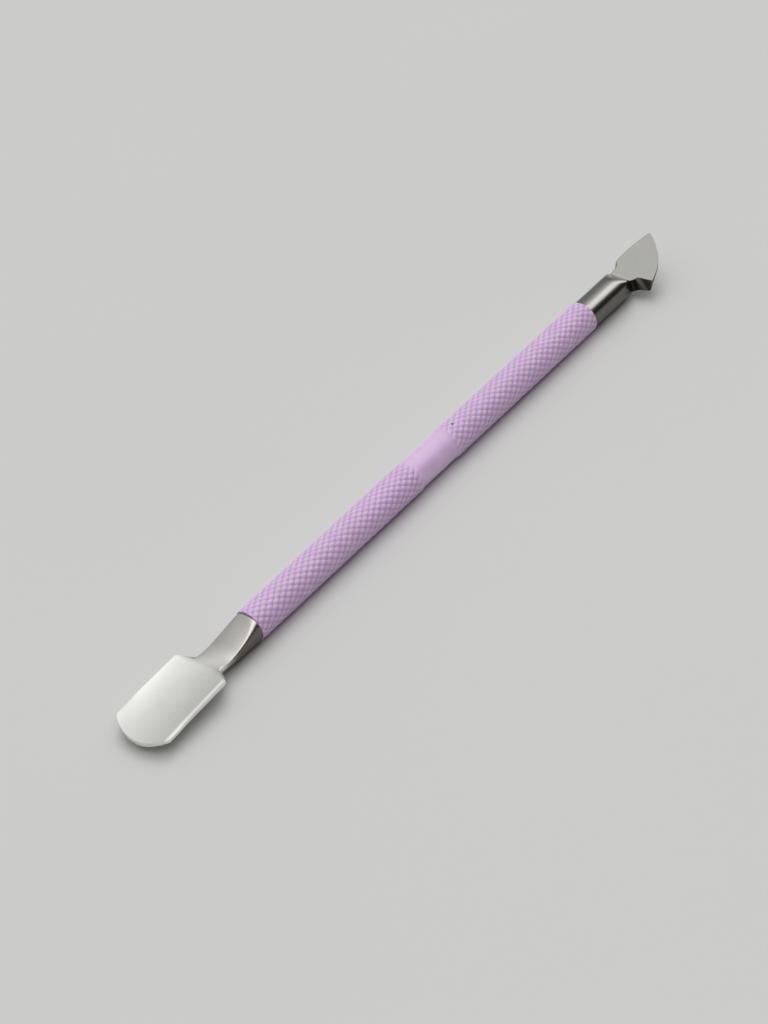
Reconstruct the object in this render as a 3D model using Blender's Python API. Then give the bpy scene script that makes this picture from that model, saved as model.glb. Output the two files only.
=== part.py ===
"""Double-ended cuticle pusher: a knurled, coated tube handle with a spoon pusher and a hatchet scraper.

The tool lies along X on the plane z = 0, with its whole length centred on x = 0. The pusher points to -X,
the hatchet to +X, and the hatchet's cutting edge faces -Y. Both tips are solid steel with a round tang
pressed into the handle tube. Points are worked out in millimetres about the middle of the grip's axis.
"""

import math

import bmesh
import bpy

MM = 0.001

# Handle, in millimetres.
GRIP_RADIUS = 2.75
GRIP_HALF_LENGTH = 40.9
BAND_RADIUS = 2.63
BAND_CENTRE = 0.65
BAND_LENGTH = 8.2
BAND_SLOPE = 0.3
GRIP_CHAMFER = 0.14
COAT_THICKNESS = 0.17
PRESS_GAP = 0.02
TUBE_RADIUS = GRIP_RADIUS - COAT_THICKNESS - PRESS_GAP
TUBE_WALL = 0.8
BORE_RADIUS = TUBE_RADIUS - TUBE_WALL
BORE_CHAMFER = 0.3
ROUND_FACETS = 24
# The middle of a facet, and not a corner, touches the table.
AXIS_HEIGHT = GRIP_RADIUS * math.cos(math.pi / ROUND_FACETS)

# What the two tips share. Along a tip, s is the distance from the end of the grip.
SHANK_RADIUS = GRIP_RADIUS - COAT_THICKNESS
SHANK_CHAMFER = 0.1
TANG_RADIUS = BORE_RADIUS - PRESS_GAP
TANG_LENGTH = 12.0
TANG_CHAMFER = 0.4
COLUMNS = 18

# Spoon pusher: a hollow-ground ramp on the shank's top, then shoulders and a dished blade.
RAMP_LENGTH = 9.6
RAMP_DROP = 1.89
RAMP_POWER = 2.3
NECK_TOP = 0.28
SHOULDER_START = 8.7
SHOULDER_END = 10.7
SHOULDER_HALF_WIDTH = 5.15
END_HALF_WIDTH = 5.37
PUSHER_LENGTH = 25.1
END_SAGITTA = 2.1
END_ARC_START = 17.0
CORNER_RADIUS = 0.6
BLADE_FALL = 1.08
RAMP_CROWN = 0.28
RAMP_CROWN_HALF = 2.4
DISH_START = 6.4
DISH_FULL = 10.4
SHOULDER_DISH = 0.58
END_DISH = 0.75
PUSHER_ROOT_THICKNESS = 1.0
PUSHER_TIP_THICKNESS = 0.75
EDGE_THINNING = 0.35

# Hatchet: the bar's top is pressed down to a flat, its sides to a waist, and the flat bends up and
# widens into an uneven blade with a heel towards the cutting edge.
CUT_START = 6.8
CUT_END = 10.9
CUT_POWER = 1.6
CUT_LAG = 0.1
FLAT_HEIGHT = 0.265
BEND_START = 10.65
BEND_LENGTH = 0.8
BEND_ANGLE = math.radians(28)
WAIST_START = 7.8
WAIST_HALF_WIDTH = 1.5
WAIST_HEEL_WIDTH = 2.35
LOW_WAIST = 2.25
FLARE_START = 11.2
LEAN_START = 8.5
LEAN_END = 12.4
LEAN = 0.6
SPREAD_HALF_WIDTH = 2.85
BACK_WAIST = 2.5
HEEL_START = 11.95
HEEL_END = 12.2
HEEL_REACH = 5.25
BACK_START = 12.5
BACK_END = 13.6
BACK_REACH = 2.97
KEEL_START = 11.2
KEEL_END = 15.0
BELLY_START = 12.4
BELLY_POWER = 2.2
BACK_POWER = 1.3
HATCHET_LENGTH = 19.9
POINT_OFFSET = 0.35
POINT_HALF_WIDTH = 0.15
HATCHET_ROOT_THICKNESS = 1.7
HATCHET_TIP_THICKNESS = 0.55
GRIND_START = 12.1
GRIND_END = 13.4
GRIND_SHARE = 0.6


def clear_scene():
    for item in list(bpy.data.objects):
        bpy.data.objects.remove(item, do_unlink=True)


def material(name, colour, metallic, roughness):
    made = bpy.data.materials.new(name)
    made.use_nodes = True
    shader = made.node_tree.nodes["Principled BSDF"]
    shader.inputs["Base Color"].default_value = (*colour, 1.0)
    shader.inputs["Metallic"].default_value = metallic
    shader.inputs["Roughness"].default_value = roughness
    return made


def add_object(name, rings, cap, finish, closed=False):
    """Join rings of points into one solid with smooth faces."""
    bm = bmesh.new()
    rows = [[bm.verts.new((x * MM, y * MM, z * MM)) for x, y, z in ring] for ring in rings]
    pairs = list(zip(rows, rows[1:]))
    if closed:
        pairs.append((rows[-1], rows[0]))
    for before, after in pairs:
        for i in range(len(before)):
            j = (i + 1) % len(before)
            bm.faces.new((before[i], before[j], after[j], after[i]))
    if not closed:
        bm.faces.new(rows[0])
        cap(bm, rows[-1])
    bmesh.ops.recalc_face_normals(bm, faces=bm.faces)
    mesh = bpy.data.meshes.new(name)
    bm.to_mesh(mesh)
    bm.free()
    mesh.materials.append(finish)
    mesh.shade_smooth()
    mesh.set_sharp_from_angle(angle=math.radians(35))
    made = bpy.data.objects.new(name, mesh)
    bpy.context.scene.collection.objects.link(made)
    return made


def strip_cap(bm, ring):
    """Close a ring whose first half is the top and whose second half is the underside."""
    half = len(ring) // 2
    for i in range(half - 1):
        bm.faces.new((ring[i], ring[i + 1], ring[-2 - i], ring[-1 - i]))


def circle(x, radius):
    step = 2 * math.pi / ROUND_FACETS
    angles = [(i + 0.5) * step - math.pi / 2 for i in range(ROUND_FACETS)]
    return [(x, radius * math.cos(a), radius * math.sin(a)) for a in angles]


def run(low, high, value):
    """How far value is from low to high, kept between 0 and 1."""
    return min(max((value - low) / (high - low), 0.0), 1.0)


def smooth(low, high, value):
    t = run(low, high, value)
    return t * t * (3 - 2 * t)


def mix(a, b, t):
    return a + (b - a) * t


# Columns are spaced so that a round bar's ring has even facets all round.
COLUMN_EDGE = math.cos(math.pi / (2 * COLUMNS + 2))
ACROSS = [-math.cos(math.pi * (j + 0.5) / (COLUMNS + 1)) / COLUMN_EDGE for j in range(COLUMNS + 1)]


def bar_height(y, radius):
    return math.sqrt(max(radius**2 - y**2, 0.0))


def round_section(radius):
    """Left edge, right edges of top and underside, and both heights, of a plain round bar."""
    edge = radius * COLUMN_EDGE
    return -edge, edge, edge, lambda y: bar_height(y, radius), lambda y: -bar_height(y, radius)


def section_ring(section, place):
    """Place one cross-section: its top from left to right, then back along its underside, which may be wider."""
    left, right, low_right, top, under = section
    ring = []
    for reach, height, order in ((right, top, ACROSS), (low_right, under, ACROSS[::-1])):
        middle, half = (left + reach) / 2, (reach - left) / 2
        ring += [place(v, middle + v * half, height(middle + v * half)) for v in order]
    return ring


def tang_rings(place):
    """The tang, and the step up to the shank that butts against the tube's mouth."""
    stations = [
        (-TANG_LENGTH, TANG_RADIUS - TANG_CHAMFER),
        (-TANG_LENGTH + TANG_CHAMFER, TANG_RADIUS),
        (PRESS_GAP, TANG_RADIUS),
        (PRESS_GAP, SHANK_RADIUS - SHANK_CHAMFER),
        (PRESS_GAP + SHANK_CHAMFER, SHANK_RADIUS),
    ]
    return [section_ring(round_section(radius), place(s)) for s, radius in stations]


def stations(start, end, step):
    count = max(1, round((end - start) / step))
    return [mix(start, end, i / count) for i in range(1, count + 1)]


def grip_coating(finish):
    band_start = BAND_CENTRE - BAND_LENGTH / 2
    band_end = BAND_CENTRE + BAND_LENGTH / 2
    inner = GRIP_RADIUS - COAT_THICKNESS
    profile = [
        (-GRIP_HALF_LENGTH, inner),
        (-GRIP_HALF_LENGTH, GRIP_RADIUS - GRIP_CHAMFER),
        (-GRIP_HALF_LENGTH + GRIP_CHAMFER, GRIP_RADIUS),
        (band_start - BAND_SLOPE, GRIP_RADIUS),
        (band_start, BAND_RADIUS),
        (band_end, BAND_RADIUS),
        (band_end + BAND_SLOPE, GRIP_RADIUS),
        (GRIP_HALF_LENGTH - GRIP_CHAMFER, GRIP_RADIUS),
        (GRIP_HALF_LENGTH, GRIP_RADIUS - GRIP_CHAMFER),
        (GRIP_HALF_LENGTH, inner),
    ]
    return add_object("grip_coating", [circle(x, r) for x, r in profile], None, finish, closed=True)


def handle_tube(finish):
    half = GRIP_HALF_LENGTH
    profile = [
        (-half, BORE_RADIUS + BORE_CHAMFER),
        (-half, TUBE_RADIUS),
        (half, TUBE_RADIUS),
        (half, BORE_RADIUS + BORE_CHAMFER),
        (half - BORE_CHAMFER, BORE_RADIUS),
        (-half + BORE_CHAMFER, BORE_RADIUS),
    ]
    return add_object("handle_tube", [circle(x, r) for x, r in profile], None, finish, closed=True)


def pusher_section(s):
    bladeness = smooth(8.0, RAMP_LENGTH, s)
    along = run(RAMP_LENGTH, PUSHER_LENGTH, s)
    blade_half = mix(SHOULDER_HALF_WIDTH, END_HALF_WIDTH, along)
    half = mix(SHANK_RADIUS * COLUMN_EDGE, blade_half, smooth(SHOULDER_START, SHOULDER_END, s))
    floor = NECK_TOP + RAMP_DROP * max(1 - s / RAMP_LENGTH, 0.0) ** RAMP_POWER - BLADE_FALL * along
    dish = mix(SHOULDER_DISH, END_DISH, along) / blade_half**2
    curve = mix(-RAMP_CROWN / RAMP_CROWN_HALF**2, dish, smooth(DISH_START, DISH_FULL, s))
    thickness = mix(PUSHER_ROOT_THICKNESS, PUSHER_TIP_THICKNESS, along)
    depth = mix(SHANK_RADIUS, 1.9, smooth(3.0, RAMP_LENGTH, s)) * (1 - smooth(RAMP_LENGTH, 15.5, s))

    def top(y):
        trough = floor + curve * y**2
        return mix(min(bar_height(y, SHANK_RADIUS), trough), trough, bladeness)

    def under(y):
        keel = -depth * bar_height(y, SHANK_RADIUS) / SHANK_RADIUS
        plate = top(y) - thickness * (1 - EDGE_THINNING * (y / half) ** 2)
        return mix(keel, min(keel, plate), bladeness)

    return -half, half, half, top, under


def arc_drop(radius, distance):
    return radius - math.sqrt(radius**2 - distance**2)


def pusher_place(s):
    """The blade's last rings bow outwards, so that its end is an arc with rounded corners."""
    bow = smooth(END_ARC_START, PUSHER_LENGTH, s)
    arc_radius = (END_HALF_WIDTH**2 + END_SAGITTA**2) / (2 * END_SAGITTA)

    def place(v, y, height):
        across = abs(v) * END_HALF_WIDTH
        corner = max(across - END_HALF_WIDTH + CORNER_RADIUS, 0.0)
        drop = arc_drop(arc_radius, across) + 0.5 * arc_drop(CORNER_RADIUS, corner)
        return (-GRIP_HALF_LENGTH - s + bow * drop, y, height)

    return place


def pusher_tip(finish):
    rings = tang_rings(pusher_place)
    along = stations(0.12, SHOULDER_START, 0.9)
    along += stations(SHOULDER_START, SHOULDER_END, 0.2)
    along += stations(SHOULDER_END, PUSHER_LENGTH, 0.9)
    rings += [section_ring(pusher_section(s), pusher_place(s)) for s in along]
    return add_object("pusher_tip", rings, strip_cap, finish)


def hatchet_section(s):
    """Here y runs towards the cutting edge; hatchet_place turns it to -Y."""
    bladeness = smooth(9.0, BEND_START + BEND_LENGTH, s)
    shank_edge = SHANK_RADIUS * COLUMN_EDGE
    spread = mix(shank_edge, SPREAD_HALF_WIDTH, smooth(9.8, BEND_START, s))
    back_neck = mix(spread, BACK_WAIST, smooth(BEND_START, BACK_START, s))
    back = mix(-BACK_REACH, POINT_OFFSET - POINT_HALF_WIDTH, run(BACK_END, HATCHET_LENGTH, s) ** BACK_POWER)
    left = mix(-back_neck, back, smooth(BACK_START, BACK_END, s))
    waist = mix(shank_edge, WAIST_HALF_WIDTH, smooth(WAIST_START, CUT_END, s))
    neck = mix(waist, WAIST_HEEL_WIDTH, smooth(CUT_END, HEEL_START, s))
    belly_run = run(BELLY_START, HATCHET_LENGTH, s) ** BELLY_POWER
    belly = mix(HEEL_REACH, POINT_OFFSET + POINT_HALF_WIDTH, belly_run)
    right = mix(neck, belly, smooth(HEEL_START, HEEL_END, s))
    low_neck = mix(shank_edge, LOW_WAIST, smooth(WAIST_START, CUT_END, s))
    low_right = mix(low_neck, belly, smooth(FLARE_START, HEEL_END, s))
    taper = run(HEEL_END, HATCHET_LENGTH, s) ** 0.8
    thickness = mix(HATCHET_ROOT_THICKNESS, HATCHET_TIP_THICKNESS, taper)
    flat = mix(SHANK_RADIUS, FLAT_HEIGHT, run(CUT_START, CUT_END, s) ** CUT_POWER)
    depth = SHANK_RADIUS * (1 - smooth(KEEL_START, KEEL_END, s))

    def top(y):
        lag = CUT_LAG * max(-y, 0.0) ** 2
        crown = mix(SHANK_RADIUS, FLAT_HEIGHT, run(CUT_START, CUT_END + lag, s) ** CUT_POWER)
        return mix(min(bar_height(y, SHANK_RADIUS), crown), flat, bladeness)

    def under(y):
        ground = 1 - GRIND_SHARE * smooth(GRIND_START, GRIND_END, s) * smooth(0.0, 1.0, y / right)
        reach = max(SHANK_RADIUS, low_right if y > 0 else -left)
        keel = -depth * bar_height(y / reach, 1.0)
        plate = flat - thickness * ground
        return mix(keel, min(keel, plate), bladeness)

    return left, right, low_right, top, under


def hatchet_place(s):
    """Rings follow a centre line that runs level, bends up and then runs straight; undersides lean back."""
    turned = run(BEND_START, BEND_START + BEND_LENGTH, s) * BEND_ANGLE
    bend_radius = BEND_LENGTH / BEND_ANGLE
    beyond = max(s - BEND_START - BEND_LENGTH, 0.0)
    x = GRIP_HALF_LENGTH + min(s, BEND_START) + bend_radius * math.sin(turned) + beyond * math.cos(turned)
    z = bend_radius * (1 - math.cos(turned)) + beyond * math.sin(turned)

    lean = LEAN * smooth(LEAN_START, LEAN_END, s)

    def place(v, y, height):
        shift = -height * math.sin(turned) if height > 0 else height * lean
        return (x + shift, -y, z + height * math.cos(turned))

    return place


def hatchet_tip(finish):
    rings = tang_rings(hatchet_place)
    along = stations(0.12, CUT_START, 1.2)
    along += stations(CUT_START, BEND_START, 0.4)
    along += stations(BEND_START, HEEL_START, 0.2)
    along += stations(HEEL_START, HEEL_END, 0.06)
    along += stations(HEEL_END, BACK_END, 0.2)
    along += stations(BACK_END, HATCHET_LENGTH, 0.45)
    rings += [section_ring(hatchet_section(s), hatchet_place(s)) for s in along]
    return add_object("hatchet_tip", rings, strip_cap, finish)


def main():
    clear_scene()
    steel = material("polished_steel", (0.62, 0.61, 0.58), 1.0, 0.28)
    tube_steel = material("tube_steel", (0.55, 0.54, 0.52), 1.0, 0.4)
    lavender = material("lavender_coating", (0.62, 0.43, 0.68), 0.0, 0.38)
    pusher_end = -GRIP_HALF_LENGTH - PUSHER_LENGTH
    hatchet_end = hatchet_place(HATCHET_LENGTH)(0, POINT_OFFSET, FLAT_HEIGHT - HATCHET_TIP_THICKNESS)[0]
    middle = (pusher_end + hatchet_end) / 2
    for piece in (handle_tube(tube_steel), grip_coating(lavender), pusher_tip(steel), hatchet_tip(steel)):
        piece.location = (-middle * MM, 0.0, AXIS_HEIGHT * MM)


main()
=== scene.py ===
"""Looks of the double-ended cuticle pusher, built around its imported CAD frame."""

import math

import bpy
import numpy as np
from mathutils import Matrix, Vector


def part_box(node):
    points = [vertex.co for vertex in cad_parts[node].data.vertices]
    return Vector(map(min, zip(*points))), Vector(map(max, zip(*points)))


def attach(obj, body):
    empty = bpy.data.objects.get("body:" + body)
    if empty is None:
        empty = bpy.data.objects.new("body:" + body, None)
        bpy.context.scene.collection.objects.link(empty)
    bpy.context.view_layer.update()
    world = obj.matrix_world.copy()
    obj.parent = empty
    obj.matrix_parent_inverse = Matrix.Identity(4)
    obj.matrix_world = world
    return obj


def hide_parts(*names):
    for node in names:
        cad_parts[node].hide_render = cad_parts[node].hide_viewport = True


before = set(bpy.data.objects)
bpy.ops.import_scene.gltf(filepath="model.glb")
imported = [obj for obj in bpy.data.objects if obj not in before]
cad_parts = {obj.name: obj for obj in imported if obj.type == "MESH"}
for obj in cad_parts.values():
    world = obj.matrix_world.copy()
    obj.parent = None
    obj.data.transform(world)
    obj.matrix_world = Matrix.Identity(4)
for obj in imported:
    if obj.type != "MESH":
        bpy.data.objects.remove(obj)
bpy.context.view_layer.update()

MM = 0.001

# The grip's ends and its axis, read from the frame. Lengths are in millimetres, except the stage's.
grip_low, grip_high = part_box("grip_coating")
GRIP_START = grip_low[0] / MM
GRIP_END = grip_high[0] / MM
GRIP_MIDDLE = (GRIP_START + GRIP_END) / 2
AXIS_HEIGHT = (grip_low[2] + grip_high[2]) / 2 / MM

# Grip: a diamond knurl on both sides of a smooth, slightly lower band.
GRIP_RADIUS = 2.77
GRIP_INNER_RADIUS = 2.575
LEAST_COAT = 0.02
END_ROUND = 0.13
LIP_STEPS = (0.0, 0.03, 0.07)
BAND_CENTRE = 0.65
BAND_LENGTH = 8.2
BAND_DROP = 0.165
BAND_SLOPE = 0.25
BAND_INSET = 0.25
BAND_RINGS = 12
KNURL_OVERLAP = 0.2
GRIP_CREASE = math.radians(70)
# The knurl: grooves in each direction, steps across and along one diamond, its length, and its relief.
KNURL_STARTS = 15
KNURL_STEPS = 11
KNURL_ROWS = 12
KNURL_LEAD = 1.55
KNURL_DEPTH = 0.185
KNURL_ROUNDING = 0.35
LEFT_GROOVES = 0.4
CROSSING_SHARE = 0.4
RUN_OUT = 1.3
PIT_PLACE = (10.29, -0.24, AXIS_HEIGHT + 2.7)
PIT_RADIUS = 0.16
PIT_SOFTNESS = 0.1

SHANK_RADIUS = 2.58

# Spoon pusher: a hollow-ground ramp on the shank's top, then shoulders and a dished blade.
RAMP_LENGTH = 9.6
RAMP_DROP = 1.89
RAMP_POWER = 2.3
NECK_TOP = 0.28
SHOULDER_START = 8.7
SHOULDER_END = 10.7
SHOULDER_HALF_WIDTH = 5.15
END_HALF_WIDTH = 5.37
PUSHER_LENGTH = 25.1
END_SAGITTA = 2.1
END_ARC_START = 17.0
CORNER_RADIUS = 0.6
CORNER_SHARE = 0.5
SPOON_BLADE_START = 8.0
SPOON_KEEL_START = 3.0
SPOON_KEEL_END = 15.5
SPOON_KEEL_DEPTH = 1.9
BLADE_FALL = 1.08
RAMP_CROWN = 0.28
RAMP_CROWN_HALF = 2.4
DISH_START = 6.4
DISH_FULL = 10.4
SHOULDER_DISH = 0.58
END_DISH = 0.75
PUSHER_ROOT_THICKNESS = 1.0
PUSHER_TIP_THICKNESS = 0.75
EDGE_THINNING = 0.35

# Hatchet: the bar's top is pressed down to a flat, its sides to a waist, and the flat bends up and
# widens into an uneven blade with a heel towards the cutting edge.
CUT_START = 6.8
CUT_END = 10.9
CUT_POWER = 1.6
CUT_LAG = 0.1
HATCHET_BLADE_START = 9.0
FLAT_HEIGHT = 0.265
BEND_START = 10.65
BEND_LENGTH = 0.8
BEND_ANGLE = math.radians(28)
WAIST_START = 7.8
WAIST_HALF_WIDTH = 1.5
WAIST_HEEL_WIDTH = 2.35
LOW_WAIST = 2.25
FLARE_START = 11.2
LEAN_START = 8.5
LEAN_END = 12.4
LEAN = 0.6
SPREAD_START = 9.8
SPREAD_HALF_WIDTH = 2.85
BACK_WAIST = 2.5
HEEL_START = 11.95
HEEL_END = 12.2
HEEL_REACH = 5.25
BACK_START = 12.5
BACK_END = 13.6
BACK_REACH = 2.97
KEEL_START = 11.2
KEEL_END = 15.0
BELLY_START = 12.4
BELLY_POWER = 2.2
BACK_POWER = 1.3
HATCHET_LENGTH = 19.9
POINT_OFFSET = 0.35
POINT_HALF_WIDTH = 0.15
HATCHET_ROOT_THICKNESS = 1.7
HATCHET_TIP_THICKNESS = 0.55
THINNING_POWER = 0.8
GRIND_START = 12.1
GRIND_END = 13.4
GRIND_SHARE = 0.6

# Edges that only the fine meshes have: rounded cuts, the spoon's bevel and the rim of the hatchet's back.
RAMP_ROUNDING = 0.6
CUT_ROUNDING = 0.5
BEVEL_WIDTH = 0.5
BEVEL_DROP = 0.17
RIM_WIDTH = 0.3
RIM_DROP = 0.12
# The tips' meshes: steps across, the gap to the grip's end, and the angle that stays a sharp edge.
COLUMNS = 60
TIP_GAP = 0.02
TIP_CREASE = math.radians(32)

# Colours.
SPOON_STEEL = (0.88, 0.875, 0.85)
RAMP_STEEL = (0.56, 0.54, 0.51)
# Painted shade: a dark steel colour for the spoon ramp's steep flanks.
RAMP_FLANK_SHADE = (0.18, 0.16, 0.14)
HATCHET_STEEL = (0.56, 0.555, 0.525)
SHANK_STEEL = (0.66, 0.65, 0.62)
# The next two colours are painted shade: the hatchet shank's +Y side, and steel that faces sideways or down.
SHANK_BACK_SHADE = (0.31, 0.305, 0.285)
HATCHET_FLANK_SHADE = (0.17, 0.165, 0.15)
TUBE_STEEL = (0.6, 0.59, 0.57)
COAT_LOW = (0.72, 0.50, 0.78)
COAT_HIGH = (0.78, 0.56, 0.84)
# Painted shade for the bottoms of the knurl's grooves.
COAT_GROOVE_SHADE = (0.5, 0.33, 0.56)
COAT_PIT = (0.03, 0.02, 0.03)
TABLE_LOW = (0.628, 0.628, 0.617)
TABLE_HIGH = (0.645, 0.645, 0.634)
POLISH_TINT = (0.96, 0.96, 0.96)
# Where the steel's tones and its painted shade change: millimetres from the grip's end, where a tone starts
# and is full.
RAMP_TONE = (8.6, 5.0)
SHANK_TONE = (11.0, 9.0)
HEEL_WALL_SHADE = (10.5, 11.0)
# How rough the surfaces are. Steel varies below and above its own value.
SPOON_ROUGHNESS = 0.25
HATCHET_ROUGHNESS = 0.24
TUBE_ROUGHNESS = 0.38
GRAIN_SPREAD = (0.05, 0.06)
BAND_ROUGHNESS = 0.2
KNURL_ROUGHNESS = (0.32, 0.44)
TABLE_ROUGHNESS = 0.75
TABLE_SPECULAR = 0.2
# The coating's tone changes over these distances: beyond the band's edge, and, as painted shade, below the
# knurl's crests.
BAND_TONE = (0.1, 0.6)
GROOVE_SHADE_DEPTHS = (0.165, 0.05)
# Noises: scales in 1/m, the ranges of their values that count, and bumps as strength and depth in metres.
GROUND_GRAIN = (900.0, 9000.0, 9000.0)
TUBE_GRAIN = (4000.0, 4000.0, 4000.0)
EVEN = (1.0, 1.0, 1.0)
PATCH_SCALE = 260.0
MOTTLE_SCALE = 420.0
FINE_SCALE = 6000.0
TABLE_SCALE = 9.0
PATCH_RANGE = (0.35, 0.65)
GRAIN_RANGE = (0.3, 0.7)
GRAIN_BUMP = (0.03, 0.00002)
COAT_BUMP = (0.08, 0.00001)

# Camera and table, in metres.
CAMERA_PLACE = Vector((-0.18669, -0.21959, 0.23485))
CAMERA_AIM = Vector((-0.00878, -0.00159, 0.00274))
CAMERA_ROLL = math.radians(-15.5)
CAMERA_LENS = 84.36
CAMERA_CLIP = 0.01
FLOOR_SIZE = 3.0

# Studio light: the middle of each glow, and its level at each angle from there, in degrees.
LIGHT_DIRECTION = (0.1, -0.15, 0.98)
LIGHT_STOPS = [
    (90, 0.13),
    (75, 0.14),
    (63, 0.19),
    (52, 0.33),
    (44, 0.4),
    (37, 0.48),
    (30, 0.54),
    (25, 0.62),
    (20, 0.85),
    (16, 1.0),
]
LIGHT_STRENGTH = 1.7
BACK_DIRECTION = (0.0, 0.95, 0.3)
BACK_STOPS = [(52, 0.0), (38, 0.04), (25, 0.14), (12, 0.2)]
SIDE_DIRECTION = (0.95, -0.15, 0.3)
SIDE_STOPS = [(45, 0.0), (30, 0.12), (15, 0.3)]
# The normal of the plane where the light ends; on the viewer's side the room is dark.
FRONT_EDGE = (0.0, 0.7, 0.7)
FRONT_SOFTNESS = 0.06
ROOM_COLOUR = (0.036, 0.035, 0.03)
# The lamp for the shadows; its spread is in degrees.
LAMP_DIRECTION = (0.55, 0.32, 0.77)
LAMP_SPREAD = 38.0
LAMP_STRENGTH = 0.8


def run(low, high, value):
    """How far value is from low to high, kept between 0 and 1."""
    return min(max((value - low) / (high - low), 0.0), 1.0)


def smooth(low, high, value):
    t = run(low, high, value)
    return t * t * (3 - 2 * t)


def soft_min(a, b, width):
    """The smaller of two heights, rounded where they cross."""
    return min(a, b) - max(width - abs(a - b), 0.0) ** 2 / (4 * width)


def mix(a, b, t):
    return a + (b - a) * t


def grid_faces(rows, columns, wrap):
    """Quads between neighbouring rows; wrap joins each row's last point to its first."""
    last = columns if wrap else columns - 1
    i, j = np.meshgrid(np.arange(rows - 1), np.arange(last), indexing="ij")
    k = (j + 1) % columns
    here, beyond = i * columns, (i + 1) * columns
    return np.stack([here + j, here + k, beyond + k, beyond + j], axis=-1).reshape(-1, 4)


def mesh_object(name, points, faces, finish, sharp=None):
    mesh = bpy.data.meshes.new(name)
    mesh.from_pydata((np.asarray(points) * MM).tolist(), [], [list(map(int, f)) for f in faces])
    mesh.validate()
    mesh.materials.append(finish)
    mesh.shade_smooth()
    if sharp is not None:
        mesh.set_sharp_from_angle(angle=sharp)
    made = bpy.data.objects.new(name, mesh)
    bpy.context.scene.collection.objects.link(made)
    return made


# ---------------------------------------------------------------- materials


def new_material(name):
    """A material, its nodes and links, and its shader."""
    made = bpy.data.materials.new(name)
    made.use_nodes = True
    return made, made.node_tree.nodes, made.node_tree.links, made.node_tree.nodes["Principled BSDF"]


def noise(nodes, links, vector, scale, detail=4.0, roughness=0.5):
    made = nodes.new("ShaderNodeTexNoise")
    made.inputs["Scale"].default_value = scale
    made.inputs["Detail"].default_value = detail
    made.inputs["Roughness"].default_value = roughness
    links.new(vector, made.inputs["Vector"])
    return made.outputs["Fac"]


def ramp(nodes, links, value, low, high, start, end):
    """From start where value is low to end where it is high, and no further."""
    made = nodes.new("ShaderNodeMapRange")
    made.inputs["From Min"].default_value = low
    made.inputs["From Max"].default_value = high
    made.inputs["To Min"].default_value = start
    made.inputs["To Max"].default_value = end
    links.new(value, made.inputs["Value"])
    return made.outputs["Result"]


def place_of(nodes):
    """A point's place on the piece, in metres, which is its place in the frame."""
    return nodes.new("ShaderNodeTexCoord").outputs["Object"]


def stretched(nodes, links, scale):
    """The place, with each axis scaled, so that a noise turns into lines or stays even."""
    mapping = nodes.new("ShaderNodeMapping")
    mapping.inputs["Scale"].default_value = scale
    links.new(place_of(nodes), mapping.inputs["Vector"])
    return mapping.outputs["Vector"]


def two_tone(nodes, links, low, high, mask):
    """From the low colour where the mask is 0 to the high one where it is 1."""
    made = nodes.new("ShaderNodeMix")
    made.data_type = "RGBA"
    made.inputs["A"].default_value = (*low, 1.0)
    made.inputs["B"].default_value = (*high, 1.0)
    links.new(mask, made.inputs["Factor"])
    return made.outputs["Result"]


def add_bump(nodes, links, shader, height, strength, depth):
    """Surface relief of a depth in metres."""
    bump = nodes.new("ShaderNodeBump")
    bump.inputs["Strength"].default_value = strength
    bump.inputs["Distance"].default_value = depth
    links.new(height, bump.inputs["Height"])
    links.new(bump.outputs["Normal"], shader.inputs["Normal"])


def blend(nodes, links, tone, colour, mask):
    """Tone turned into colour where the mask is 1."""
    made = nodes.new("ShaderNodeMix")
    made.data_type = "RGBA"
    links.new(mask, made.inputs["Factor"])
    links.new(tone, made.inputs["A"])
    made.inputs["B"].default_value = (*colour, 1.0)
    return made.outputs["Result"]


def product(nodes, links, a, b):
    made = nodes.new("ShaderNodeMath")
    made.operation = "MULTIPLY"
    links.new(a, made.inputs[0])
    links.new(b, made.inputs[1])
    return made.outputs["Value"]


def steel_material(name, colour, grain_scale, rough, zones=()):
    """Satin ground steel: grain lines, slow patches of polish and a faint bump.

    Each zone is a colour, either a tone of the steel or a painted shade, and the ranges that keep it in: an
    axis of the place (in mm) or of the normal, and the values where the zone starts and is full.
    """
    made, nodes, links, shader = new_material(name)
    grain = noise(nodes, links, stretched(nodes, links, grain_scale), 1.0, 6.0, 0.65)
    patches = noise(nodes, links, stretched(nodes, links, EVEN), PATCH_SCALE, 3.0)
    place = nodes.new("ShaderNodeSeparateXYZ")
    links.new(place_of(nodes), place.inputs["Vector"])
    facing = nodes.new("ShaderNodeSeparateXYZ")
    links.new(nodes.new("ShaderNodeNewGeometry").outputs["Normal"], facing.inputs["Vector"])
    base = nodes.new("ShaderNodeRGB")
    base.outputs["Color"].default_value = (*colour, 1.0)
    tone = base.outputs["Color"]
    for zone_colour, limits in zones:
        mask = None
        for source, axis, start, full in limits:
            value = place.outputs[axis] if source == "place" else facing.outputs[axis]
            scale = MM if source == "place" else 1.0
            inside = ramp(nodes, links, value, start * scale, full * scale, 0.0, 1.0)
            mask = inside if mask is None else product(nodes, links, mask, inside)
        tone = blend(nodes, links, tone, zone_colour, mask)
    patched = nodes.new("ShaderNodeMix")
    patched.data_type = "RGBA"
    patched.blend_type = "MULTIPLY"
    patched.inputs["B"].default_value = (*POLISH_TINT, 1.0)
    links.new(tone, patched.inputs["A"])
    links.new(ramp(nodes, links, patches, *PATCH_RANGE, 0.0, 1.0), patched.inputs["Factor"])
    links.new(patched.outputs["Result"], shader.inputs["Base Color"])
    shader.inputs["Metallic"].default_value = 1.0
    smoother, rougher = rough - GRAIN_SPREAD[0], rough + GRAIN_SPREAD[1]
    links.new(ramp(nodes, links, grain, *GRAIN_RANGE, smoother, rougher), shader.inputs["Roughness"])
    add_bump(nodes, links, shader, grain, *GRAIN_BUMP)
    return made


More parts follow.
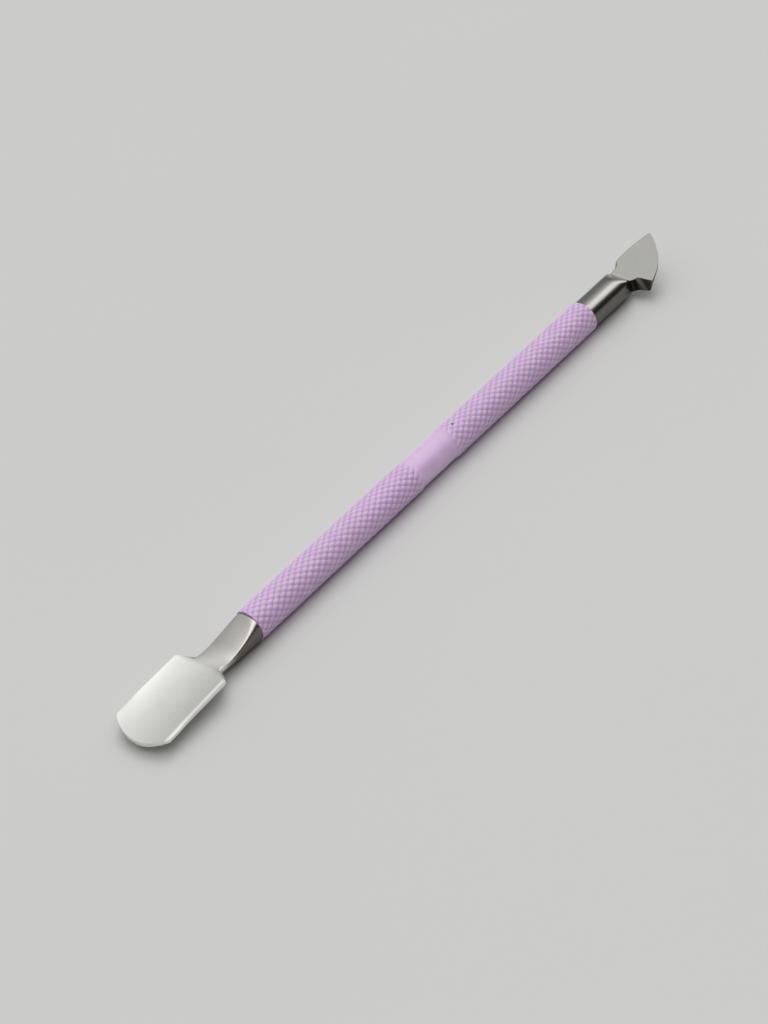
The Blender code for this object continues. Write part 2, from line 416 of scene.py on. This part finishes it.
def spoon_material():
    """The blade is paler than the ramp, and painted shade darkens the shank's steep flanks."""
    to_ramp = ("place", "X", *[GRIP_START - v for v in RAMP_TONE])
    zones = [
        (RAMP_STEEL, [to_ramp]),
        # Painted shade: the ramp's steel is darkened where it faces sideways or down.
        (RAMP_FLANK_SHADE, [to_ramp, ("normal", "Z", 0.6, 0.35)]),
    ]
    return steel_material("spoon_steel", SPOON_STEEL, GROUND_GRAIN, SPOON_ROUGHNESS, zones)


def hatchet_material():
    """A flat satin face and a paler shank; painted shade darkens the shank's +Y side, the steep flanks and
    the heel wall.
    """
    to_shank = ("place", "X", *[GRIP_END + v for v in SHANK_TONE])
    to_heel_wall = ("place", "X", *[GRIP_END + v for v in HEEL_WALL_SHADE])
    zones = [
        (SHANK_STEEL, [to_shank]),
        # Painted shade: the shank's side facing +Y is darkened.
        (SHANK_BACK_SHADE, [to_shank, ("normal", "Y", -0.35, 0.0)]),
        # Painted shade: steel that faces sideways or down is darkened.
        (HATCHET_FLANK_SHADE, [("normal", "Z", 0.78, 0.58)]),
        # Painted shade: the heel wall, facing -X, gets the same dark colour.
        (HATCHET_FLANK_SHADE, [("normal", "X", -0.52, -0.6), to_heel_wall]),
    ]
    return steel_material("hatchet_steel", HATCHET_STEEL, GROUND_GRAIN, HATCHET_ROUGHNESS, zones)


def distance(nodes, links, centre, scale):
    """How far a point is, in metres, from a centre in millimetres, along the axes whose scale is 1."""
    mapping = nodes.new("ShaderNodeMapping")
    mapping.inputs["Location"].default_value = [-c * MM * k for c, k in zip(centre, scale)]
    mapping.inputs["Scale"].default_value = scale
    links.new(place_of(nodes), mapping.inputs["Vector"])
    made = nodes.new("ShaderNodeVectorMath")
    made.operation = "LENGTH"
    links.new(mapping.outputs["Vector"], made.inputs[0])
    return made.outputs["Value"]


def coating_material():
    """Lavender coating: mottled, with painted shade down in the knurl's grooves, and glossy on the smooth
    band.
    """
    made, nodes, links, shader = new_material("lavender_coating")
    vector = stretched(nodes, links, EVEN)
    mottle = noise(nodes, links, vector, MOTTLE_SCALE, 4.0)
    fine = noise(nodes, links, vector, FINE_SCALE, 2.0)
    from_axis = distance(nodes, links, (0.0, 0.0, AXIS_HEIGHT), (0.0, 1.0, 1.0))
    from_band = distance(nodes, links, (GRIP_MIDDLE + BAND_CENTRE, 0.0, 0.0), (1.0, 0.0, 0.0))
    start, full = [(BAND_LENGTH / 2 + v) * MM for v in BAND_TONE]
    knurled = ramp(nodes, links, from_band, start, full, 0.0, 1.0)
    bottom, crest = [(GRIP_RADIUS - v) * MM for v in GROOVE_SHADE_DEPTHS]
    groove_shade = ramp(nodes, links, from_axis, bottom, crest, 1.0, 0.0)
    tone = two_tone(nodes, links, COAT_LOW, COAT_HIGH, ramp(nodes, links, mottle, *PATCH_RANGE, 0.0, 1.0))
    # Painted shade: the coating darkens towards the bottom of the knurl's grooves.
    tone = blend(nodes, links, tone, COAT_GROOVE_SHADE, product(nodes, links, groove_shade, knurled))
    from_pit = distance(nodes, links, PIT_PLACE, EVEN)
    pit = ramp(nodes, links, from_pit, PIT_RADIUS * MM, (PIT_RADIUS + PIT_SOFTNESS) * MM, 1.0, 0.0)
    links.new(blend(nodes, links, tone, COAT_PIT, pit), shader.inputs["Base Color"])
    gloss = nodes.new("ShaderNodeMix")
    gloss.data_type = "FLOAT"
    links.new(knurled, gloss.inputs["Factor"])
    gloss.inputs["A"].default_value = BAND_ROUGHNESS
    links.new(ramp(nodes, links, fine, *GRAIN_RANGE, *KNURL_ROUGHNESS), gloss.inputs["B"])
    links.new(gloss.outputs["Result"], shader.inputs["Roughness"])
    add_bump(nodes, links, shader, fine, *COAT_BUMP)
    return made


def floor_material():
    made, nodes, links, shader = new_material("pale_table")
    tone = noise(nodes, links, stretched(nodes, links, EVEN), TABLE_SCALE, 3.0)
    links.new(two_tone(nodes, links, TABLE_LOW, TABLE_HIGH, tone), shader.inputs["Base Color"])
    shader.inputs["Roughness"].default_value = TABLE_ROUGHNESS
    shader.inputs["Specular IOR Level"].default_value = TABLE_SPECULAR
    return made


# ---------------------------------------------------------------- grip


def ridge(phase):
    """A triangle wave: 0 at whole numbers, 1 half-way between."""
    return 1 - np.abs(2 * (phase - np.floor(phase)) - 1)


def knurl_height(x, around, from_band):
    """From 0 in a groove to 1 on a diamond's crest; around is in turns.

    Grooves are deepest where they cross. The left-hand ones are shallower, and fade out before the smooth
    band.
    """
    along = (x - GRIP_START) / KNURL_LEAD
    right = ridge(along + around * KNURL_STARTS)
    left = ridge(along - around * KNURL_STARTS)
    left = 1 - np.clip(from_band / RUN_OUT, 0, 1) * (1 - left)
    low = np.minimum(right, left)
    low -= np.maximum(KNURL_ROUNDING - np.abs(right - left), 0.0) ** 2 / (4 * KNURL_ROUNDING)
    low = mix(low, mix(right, left, LEFT_GROOVES), CROSSING_SHARE)
    return np.sin(np.clip(low, 0.0, 1.0) * math.pi / 2)


def ring_round(x, radius, turn):
    angle = turn * 2 * math.pi
    return np.stack([x + 0 * angle, radius * np.cos(angle), AXIS_HEIGHT + radius * np.sin(angle)], axis=-1)


def grip_stations(band_start, band_end):
    """Where the grip's rings stand: close together in the knurl and at the lips, few on the band."""
    step = KNURL_LEAD / KNURL_ROWS
    knurl = np.arange(GRIP_START + step, GRIP_END, step)
    knurl = knurl[(knurl < band_start + KNURL_OVERLAP) | (knurl > band_end - KNURL_OVERLAP)]
    band = np.linspace(band_start + BAND_INSET, band_end - BAND_INSET, BAND_RINGS)
    lips = [GRIP_START + lip for lip in LIP_STEPS] + [GRIP_END - lip for lip in LIP_STEPS]
    return np.sort(np.concatenate([knurl, band, lips]))


def grip_piece(finish):
    """One closed skin: the knurl, the smooth band between its two halves, rounded lips and a plain inside."""
    band_start = GRIP_MIDDLE + BAND_CENTRE - BAND_LENGTH / 2
    band_end = band_start + BAND_LENGTH
    columns = KNURL_STARTS * KNURL_STEPS
    turn = np.arange(columns) / columns
    xx, tt = np.meshgrid(grip_stations(band_start, band_end), turn, indexing="ij")
    from_band = np.maximum(band_start - xx, xx - band_end)
    knurled = np.clip(from_band / BAND_SLOPE, 0, 1)
    knurled = knurled * knurled * (3 - 2 * knurled)
    relief = KNURL_DEPTH * (1 - knurl_height(xx, tt, from_band))
    radius = GRIP_RADIUS - knurled * relief - (1 - knurled) * BAND_DROP
    drop = np.clip(1 - np.minimum(xx - GRIP_START, GRIP_END - xx) / END_ROUND, 0, 1)
    radius = np.maximum(radius - END_ROUND * (1 - np.sqrt(1 - drop * drop)), GRIP_INNER_RADIUS + LEAST_COAT)
    rows = [ring_round(xx, radius, tt)]
    rows += [ring_round(place, GRIP_INNER_RADIUS, turn)[None] for place in (GRIP_END, GRIP_START)]
    points = np.concatenate(rows)
    faces = grid_faces(len(points), columns, True)
    closing = grid_faces(2, columns, True)
    closing = np.where(closing < columns, closing + (len(points) - 1) * columns, closing - columns)
    faces = np.concatenate([faces, closing])[:, ::-1]
    return mesh_object("knurled_grip", points.reshape(-1, 3), faces, finish, GRIP_CREASE)


# ---------------------------------------------------------------- tips

COLUMN_EDGE = math.cos(math.pi / (2 * COLUMNS + 2))
ACROSS = [-math.cos(math.pi * (j + 0.5) / (COLUMNS + 1)) / COLUMN_EDGE for j in range(COLUMNS + 1)]


def bar_height(y, radius):
    """Half the height of a round bar at y from its middle."""
    return math.sqrt(max(radius**2 - y**2, 0.0))


def section_ring(section, place):
    """One closed ring: the top from edge to edge, then the underside back, which may reach further right."""
    left, right, low_right, top, under = section
    ring = []
    for reach, height, order in ((right, top, ACROSS), (low_right, under, ACROSS[::-1])):
        middle, half = (left + reach) / 2, (reach - left) / 2
        ring += [place(v, middle + v * half, height(middle + v * half)) for v in order]
    return ring


def stations(start, end, step):
    """Even places after start, up to and with end, about a step apart."""
    count = max(1, round((end - start) / step))
    return [mix(start, end, i / count) for i in range(1, count + 1)]


def tip_object(name, rings, finish):
    """Join rings into one solid: a fan-shaped face closes its root, and a strip of quads its end."""
    columns = len(rings[0])
    points = np.array(rings).reshape(-1, 3)
    faces = [list(f) for f in grid_faces(len(rings), columns, True)]
    faces.append(list(range(columns))[::-1])
    start, half = (len(rings) - 1) * columns, columns // 2
    for i in range(half - 1):
        faces.append([start + i, start + i + 1, start + columns - 2 - i, start + columns - 1 - i])
    return mesh_object(name, points, faces, finish, TIP_CREASE)


def pusher_section(s):
    bladeness = smooth(SPOON_BLADE_START, RAMP_LENGTH, s)
    along = run(RAMP_LENGTH, PUSHER_LENGTH, s)
    blade_half = mix(SHOULDER_HALF_WIDTH, END_HALF_WIDTH, along)
    half = mix(SHANK_RADIUS * COLUMN_EDGE, blade_half, smooth(SHOULDER_START, SHOULDER_END, s))
    floor = NECK_TOP + RAMP_DROP * max(1 - s / RAMP_LENGTH, 0.0) ** RAMP_POWER - BLADE_FALL * along
    dish = mix(SHOULDER_DISH, END_DISH, along) / blade_half**2
    curve = mix(-RAMP_CROWN / RAMP_CROWN_HALF**2, dish, smooth(DISH_START, DISH_FULL, s))
    thickness = mix(PUSHER_ROOT_THICKNESS, PUSHER_TIP_THICKNESS, along)
    depth = mix(SHANK_RADIUS, SPOON_KEEL_DEPTH, smooth(SPOON_KEEL_START, RAMP_LENGTH, s))
    depth *= 1 - smooth(RAMP_LENGTH, SPOON_KEEL_END, s)

    def top(y):
        bevel = BEVEL_DROP * run(BEVEL_WIDTH - half, -half, y)
        trough = floor + curve * y**2 - bladeness * bevel
        return mix(soft_min(bar_height(y, SHANK_RADIUS), trough, RAMP_ROUNDING), trough, bladeness)

    def under(y):
        keel = -depth * bar_height(y, SHANK_RADIUS) / SHANK_RADIUS
        plate = top(y) - thickness * (1 - EDGE_THINNING * (y / half) ** 2)
        return mix(keel, min(keel, plate), bladeness)

    return -half, half, half, top, under


def arc_drop(radius, across):
    """How far an arc has fallen back from its crown."""
    return radius - math.sqrt(radius**2 - across**2)


def pusher_place(s):
    """The blade's last rings bow outwards, so that its end is an arc with rounded corners."""
    bow = smooth(END_ARC_START, PUSHER_LENGTH, s)
    arc_radius = (END_HALF_WIDTH**2 + END_SAGITTA**2) / (2 * END_SAGITTA)

    def place(v, y, height):
        across = abs(v) * END_HALF_WIDTH
        corner = max(across - END_HALF_WIDTH + CORNER_RADIUS, 0.0)
        drop = arc_drop(arc_radius, across) + CORNER_SHARE * arc_drop(CORNER_RADIUS, corner)
        return (GRIP_START - s + bow * drop, y, AXIS_HEIGHT + height)

    return place


def pusher_piece(finish):
    along = stations(0.0, SHOULDER_START, 0.15)
    along += stations(SHOULDER_START, SHOULDER_END, 0.08)
    along += stations(SHOULDER_END, PUSHER_LENGTH, 0.15)
    rings = [section_ring(pusher_section(s), pusher_place(s)) for s in [TIP_GAP] + along]
    return tip_object("pusher_blade", rings, finish)


def hatchet_section(s):
    """Here y runs towards the cutting edge; hatchet_place turns it to -Y."""
    bladeness = smooth(HATCHET_BLADE_START, BEND_START + BEND_LENGTH, s)
    shank_edge = SHANK_RADIUS * COLUMN_EDGE
    spread = mix(shank_edge, SPREAD_HALF_WIDTH, smooth(SPREAD_START, BEND_START, s))
    back_neck = mix(spread, BACK_WAIST, smooth(BEND_START, BACK_START, s))
    back = mix(-BACK_REACH, POINT_OFFSET - POINT_HALF_WIDTH, run(BACK_END, HATCHET_LENGTH, s) ** BACK_POWER)
    left = mix(-back_neck, back, smooth(BACK_START, BACK_END, s))
    waist = mix(shank_edge, WAIST_HALF_WIDTH, smooth(WAIST_START, CUT_END, s))
    neck = mix(waist, WAIST_HEEL_WIDTH, smooth(CUT_END, HEEL_START, s))
    belly_run = run(BELLY_START, HATCHET_LENGTH, s) ** BELLY_POWER
    belly = mix(HEEL_REACH, POINT_OFFSET + POINT_HALF_WIDTH, belly_run)
    right = mix(neck, belly, smooth(HEEL_START, HEEL_END, s))
    low_neck = mix(shank_edge, LOW_WAIST, smooth(WAIST_START, CUT_END, s))
    low_right = mix(low_neck, belly, smooth(FLARE_START, HEEL_END, s))
    taper = run(HEEL_END, HATCHET_LENGTH, s) ** THINNING_POWER
    thickness = mix(HATCHET_ROOT_THICKNESS, HATCHET_TIP_THICKNESS, taper)
    level = mix(SHANK_RADIUS, FLAT_HEIGHT, run(CUT_START, CUT_END, s) ** CUT_POWER)
    depth = SHANK_RADIUS * (1 - smooth(KEEL_START, KEEL_END, s))

    def top(y):
        lag = CUT_LAG * max(-y, 0.0) ** 2
        crown = mix(SHANK_RADIUS, FLAT_HEIGHT, run(CUT_START, CUT_END + lag, s) ** CUT_POWER)
        rim = RIM_DROP * max(1 - (y - left) / RIM_WIDTH, 0.0) ** 2
        return mix(soft_min(bar_height(y, SHANK_RADIUS), crown, CUT_ROUNDING), level - rim, bladeness)

    def under(y):
        ground = 1 - GRIND_SHARE * smooth(GRIND_START, GRIND_END, s) * smooth(0.0, 1.0, y / right)
        reach = max(SHANK_RADIUS, low_right if y > 0 else -left)
        keel = -depth * bar_height(y / reach, 1.0)
        plate = level - thickness * ground
        return mix(keel, min(keel, plate), bladeness)

    return left, right, low_right, top, under


def hatchet_place(s):
    """Rings follow a centre line that runs level, bends up and then runs straight; undersides lean back."""
    turned = run(BEND_START, BEND_START + BEND_LENGTH, s) * BEND_ANGLE
    bend_radius = BEND_LENGTH / BEND_ANGLE
    beyond = max(s - BEND_START - BEND_LENGTH, 0.0)
    x = GRIP_END + min(s, BEND_START) + bend_radius * math.sin(turned) + beyond * math.cos(turned)
    z = AXIS_HEIGHT + bend_radius * (1 - math.cos(turned)) + beyond * math.sin(turned)
    lean = LEAN * smooth(LEAN_START, LEAN_END, s)

    def place(v, y, height):
        shift = -height * math.sin(turned) if height > 0 else height * lean
        return (x + shift, -y, z + height * math.cos(turned))

    return place


def hatchet_piece(finish):
    along = stations(0.0, CUT_START, 0.2)
    along += stations(CUT_START, BEND_START, 0.1)
    along += stations(BEND_START, HEEL_START, 0.05)
    along += stations(HEEL_START, HEEL_END, 0.02)
    along += stations(HEEL_END, BACK_END, 0.06)
    along += stations(BACK_END, HATCHET_LENGTH, 0.1)
    rings = [section_ring(hatchet_section(s), hatchet_place(s)) for s in [TIP_GAP] + along]
    return tip_object("hatchet_blade", rings, finish)


# ---------------------------------------------------------------- stage


def add_floor():
    half = FLOOR_SIZE / 2 / MM
    corners = [(-half, -half, 0), (half, -half, 0), (half, half, 0), (-half, half, 0)]
    floor = mesh_object("table_floor", corners, [(0, 1, 2, 3)], floor_material())


def glow(nodes, links, vector, direction, stops):
    """Light level by the angle from a direction."""
    toward = nodes.new("ShaderNodeVectorMath")
    toward.operation = "DOT_PRODUCT"
    toward.inputs[1].default_value = Vector(direction).normalized()
    links.new(vector, toward.inputs[0])
    made = nodes.new("ShaderNodeValToRGB")
    while len(made.color_ramp.elements) < len(stops):
        made.color_ramp.elements.new(0.5)
    for element, (degrees, level) in zip(made.color_ramp.elements, stops):
        element.position = math.cos(math.radians(degrees))
        element.color = (level, level, level, 1.0)
    links.new(toward.outputs["Value"], made.inputs["Fac"])
    return made.outputs["Color"]


def add_world():
    """A soft overhead light, a paler wall behind, and a dark room beyond a straight front edge."""
    world = bpy.data.worlds.new("studio")
    bpy.context.scene.world = world
    world.use_nodes = True
    nodes, links = world.node_tree.nodes, world.node_tree.links
    background = nodes["Background"]
    vector = nodes.new("ShaderNodeTexCoord").outputs["Generated"]
    glows = glow(nodes, links, vector, LIGHT_DIRECTION, LIGHT_STOPS)
    for direction, stops in ((BACK_DIRECTION, BACK_STOPS), (SIDE_DIRECTION, SIDE_STOPS)):
        both = nodes.new("ShaderNodeMix")
        both.data_type = "RGBA"
        both.blend_type = "ADD"
        both.inputs["Factor"].default_value = 1.0
        links.new(glows, both.inputs["A"])
        links.new(glow(nodes, links, vector, direction, stops), both.inputs["B"])
        glows = both.outputs["Result"]
    front = nodes.new("ShaderNodeVectorMath")
    front.operation = "DOT_PRODUCT"
    front.inputs[1].default_value = FRONT_EDGE
    links.new(vector, front.inputs[0])
    lit = ramp(nodes, links, front.outputs["Value"], -FRONT_SOFTNESS, FRONT_SOFTNESS, 0.0, 1.0)
    room = nodes.new("ShaderNodeMix")
    room.data_type = "RGBA"
    room.inputs["A"].default_value = (*ROOM_COLOUR, 1.0)
    links.new(lit, room.inputs["Factor"])
    links.new(glows, room.inputs["B"])
    links.new(room.outputs["Result"], background.inputs["Color"])
    background.inputs["Strength"].default_value = LIGHT_STRENGTH


def add_lamp():
    """A broad soft lamp from behind, for the shadows; it is not seen in the steel."""
    data = bpy.data.lights.new("lamp", "SUN")
    data.energy = LAMP_STRENGTH
    data.angle = math.radians(LAMP_SPREAD)
    lamp = bpy.data.objects.new("lamp", data)
    lamp.rotation_mode = "QUATERNION"
    lamp.rotation_quaternion = Vector(LAMP_DIRECTION).to_track_quat("Z", "Y")
    lamp.visible_glossy = False
    bpy.context.scene.collection.objects.link(lamp)


def add_camera():
    data = bpy.data.cameras.new("camera")
    data.lens = CAMERA_LENS
    data.clip_start = CAMERA_CLIP
    camera = bpy.data.objects.new("camera", data)
    bpy.context.scene.collection.objects.link(camera)
    look = (CAMERA_AIM - CAMERA_PLACE).to_track_quat("-Z", "Y").to_matrix().to_4x4()
    camera.matrix_world = Matrix.Translation(CAMERA_PLACE) @ look @ Matrix.Rotation(CAMERA_ROLL, 4, "Z")
    bpy.context.scene.camera = camera


def main():
    bpy.context.scene.view_settings.view_transform = "Standard"
    grip = grip_piece(coating_material())
    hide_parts("grip_coating")
    pusher = pusher_piece(spoon_material())
    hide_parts("pusher_tip")
    hatchet = hatchet_piece(hatchet_material())
    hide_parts("hatchet_tip")
    for piece in (grip, pusher, hatchet):
        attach(piece, "root")
    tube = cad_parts["handle_tube"]
    tube.data.materials.clear()
    tube.data.materials.append(steel_material("tube_steel", TUBE_STEEL, TUBE_GRAIN, TUBE_ROUGHNESS))
    add_floor()
    add_world()
    add_lamp()
    add_camera()


main()
